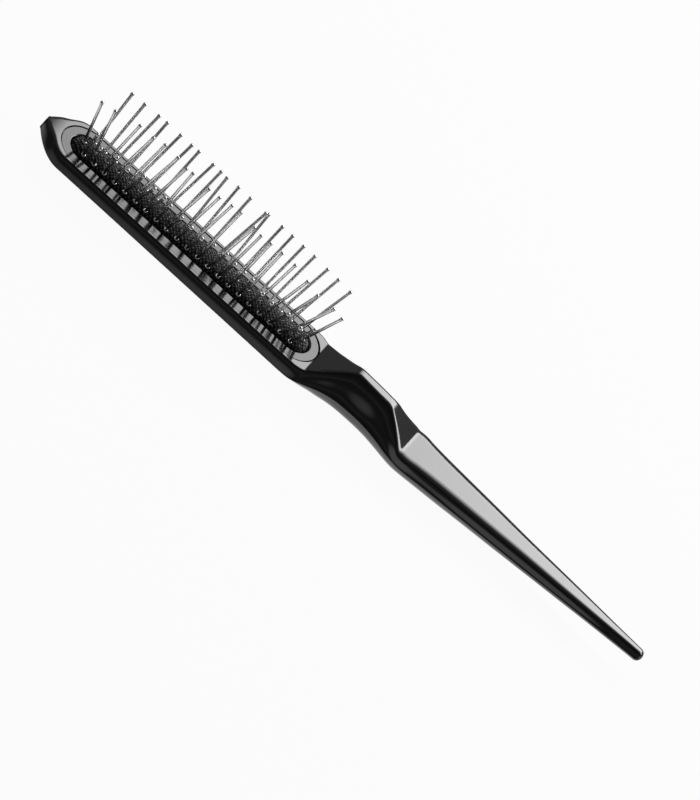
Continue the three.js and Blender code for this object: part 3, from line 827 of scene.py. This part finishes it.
def wovenFinish():
    # The tone follows the same threads as weaveHeight does: the thread pattern, with painted highlight on
    # the crowns and where a thread passes over, and painted shade in the pits.
    finish = Finish(bpy.data.materials.new("woven_textile"))
    look, w = pad["look"], pad["weave"]
    spot = finish.place()
    x, y = finish.split(spot)[:2]
    places = slants(x, y)
    waves = [finish.node("Math", {"operation": "COSINE"}, {0: place * math.pi}) for place in places]
    rib, cross = [finish.node("Math", {"operation": "PINGPONG"}, {0: place, 1: 0.5}) for place in places]
    swing = waves[0] * waves[1]
    ribTone = (1 - rib / w["ribHalf"]) * (look["rib"][0] + look["rib"][1] * swing)
    crossTone = (1 - cross / w["crossHalf"]) * (look["cross"][0] - look["cross"][1] * swing)
    thread = finish.node("Math", {"operation": "MAXIMUM", "use_clamp": True}, {0: ribTone, 1: crossTone})
    fuzz = finish.noise(spot, **look["fuzz"])
    patch = finish.noise(spot, **look["patch"])
    # Painted shade: the pad darker towards its near side and lighter towards its far side.
    paintedShadeAcross = finish.node("MapRange", inputs={"Value": y, **look["paintedShadeAcross"]})
    # Painted shadow along the pad's far edge, under the slot's far side.
    shade = finish.node("MapRange", inputs={"Value": y, **look["shade"]})
    # The thread tone carries painted highlight on the crowns and over-crossings and painted shade in the
    # pits.
    tone = thread ** look["contrast"] * finish.ramp(fuzz, look["lumps"])
    tone = tone * (look["patchTone"][0] + look["patchTone"][1] * patch) * paintedShadeAcross * (1 - shade)
    return finish.principled({
        "Base Color": finish.blend(tone, look["pit"], look["crown"]),
        "Roughness": look["roughness"] + look["haze"] * fuzz,
        "Specular IOR Level": look["gloss"],
        "Normal": finish.bump(thread * look["threadRelief"] + fuzz * look["fuzzRelief"], look["relief"]),
    })


makePad()
print("pad made")


rubber = {
    "pieces": ("pad_tray", "foot_strip_left", "foot_strip_right"),
    "look": {"dark": 0.012, "light": 0.03, "roughness": 0.7, "haze": 0.2, "relief": 0.1,
             "cloud": {"scale": 0.8, "detail": 4.0}},
}


def dressRubber():
    # The tray and the two strips inside the head keep their CAD shapes.
    finish = Finish(bpy.data.materials.new("bed_rubber"))
    look = rubber["look"]
    cloud = finish.noise(finish.place(), **look["cloud"])
    material = finish.principled({
        "Base Color": finish.blend(cloud, look["dark"], look["light"]),
        "Roughness": look["roughness"] + look["haze"] * cloud,
        "Normal": finish.bump(cloud, look["relief"]),
    })
    for name in rubber["pieces"]:
        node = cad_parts[name]
        node.data.materials.clear()
        node.data.materials.append(material)


dressRubber()
print("rubber dressed")


# The fade makes the floor dark in a mirror away from the brush, as a small table would be. The panel's
# light falls off towards the nose and towards its upper edge. The floor's and the panel's lengths are
# metres, the fade's millimetres.
studio = {
    "floor": {"size": 8.0, "height": -0.0001, "tone": 0.85, "cameraShare": 0.95, "glossShare": 1.0},
    "fade": {"noseEnd": -28, "reach": {"From Min": 20, "From Max": 52}, "share": 0.9, "tone": 0.02},
    "world": {"front": [(0.0, 0.26), (0.1, 0.17), (0.22, 0.09), (0.5, 0.05)], "back": 0.26,
              "turn": {"From Min": -0.2, "From Max": 0.6}, "mirrored": 0.02},
    "panel": {"elevation": 38, "distance": 1.1, "centre": (0.06, 0, 0.008),
              "left": -0.36, "right": 1.26, "low": -0.2, "high": 0.34, "radiance": 9.6,
              "along": [(0.0, 0.0), (0.05, 0.2), (0.13, 0.6), (0.19, 0.68), (0.24, 0.8), (0.29, 1.0)],
              "up": [(0.0, 1.0), (0.34, 1.0), (0.43, 0.75), (0.68, 0.38), (1.0, 0.0)]},
}


def makeFloor():
    f, fade = studio["floor"], studio["fade"]
    half = f["size"] / 2
    mesh = bpy.data.meshes.new("floor")
    corners = [(-half, -half, 0), (half, -half, 0), (half, half, 0), (-half, half, 0)]
    mesh.from_pydata(corners, [], [(0, 1, 2, 3)])
    floor = link("floor", mesh)
    floor.location.z = f["height"]
    finish = Finish(bpy.data.materials.new("pale_floor"))
    seen = finish.node("LightPath", output="Is Camera Ray")
    mirrored = finish.mirrored(seen)
    pale = finish.node("BsdfDiffuse", inputs={"Color": grey(f["tone"])})
    white = finish.node("Emission", inputs={"Color": grey(1.0), "Strength": 1.0})
    share = seen * f["cameraShare"] + mirrored * f["glossShare"]
    shader = finish.node("MixShader", inputs={0: share, 1: pale, 2: white})
    x, y = finish.split(finish.place())[:2]
    pastNose = finish.node("Math", {"operation": "MAXIMUM"}, {0: fade["noseEnd"] - x, 1: 0.0})
    away = (y * y + pastNose * pastNose) ** 0.5
    faded = finish.node("MapRange", inputs={"Value": away, **fade["reach"]})
    dark = finish.node("BsdfDiffuse", inputs={"Color": grey(fade["tone"])})
    shader = finish.node("MixShader", inputs={0: mirrored * faded * fade["share"], 1: shader, 2: dark})
    finish.node("OutputMaterial", inputs={"Surface": shader})
    mesh.materials.append(finish.owner)


def makePanel():
    # A long soft panel behind the brush.
    p = studio["panel"]
    rise = math.radians(p["elevation"])
    along = Vector((1, 0, 0))
    up = Vector((0, -math.sin(rise), math.cos(rise)))
    away = Vector((0, math.cos(rise), math.sin(rise)))
    data = bpy.data.lights.new("softbox", "AREA")
    data.shape = "RECTANGLE"
    data.size = p["right"] - p["left"]
    data.size_y = p["high"] - p["low"]
    data.energy = p["radiance"] * math.pi * data.size * data.size_y
    made = link("softbox", data)
    spot = Vector(p["centre"]) + away * p["distance"]
    spot += along * (p["right"] + p["left"]) / 2 + up * (p["high"] + p["low"]) / 2
    made.matrix_world = Matrix.Translation(spot) @ Matrix((along, up, away)).transposed().to_4x4()
    made.visible_camera = False
    glow = Finish(data)
    across, upward = glow.split(glow.node("NewGeometry", output="Parametric"))[:2]
    level = glow.ramp(across, p["along"]) * glow.ramp(upward, p["up"])
    glow.node("OutputLight", inputs={0: glow.node("Emission", inputs={"Strength": level})})


def makeWorld():
    # Bright behind the brush, and dark before it but for a band along the horizon.
    w = studio["world"]
    world = bpy.data.worlds.new("studio")
    bpy.context.scene.world = world
    room = Finish(world)
    y, z = room.split(room.node("TexCoord", output="Generated"))[1:]
    behind = room.node("MapRange", inputs={"Value": y, **w["turn"]})
    level = room.node("Mix", {"data_type": "FLOAT"}, {0: behind, 2: room.ramp(z, w["front"]), 3: w["back"]})
    dim = room.node("Background", inputs={"Color": grey(1.0), "Strength": level})
    white = room.node("Background", inputs={"Color": grey(1.0), "Strength": 1.0})
    seen = room.node("LightPath", output="Is Camera Ray")
    share = seen + room.mirrored(seen) * w["mirrored"]
    room.node("OutputWorld", inputs={"Surface": room.node("MixShader", inputs={0: share, 1: dim, 2: white})})


makeFloor()
makeWorld()
makePanel()
bpy.context.scene.view_settings.view_transform = "Standard"
print("studio made")
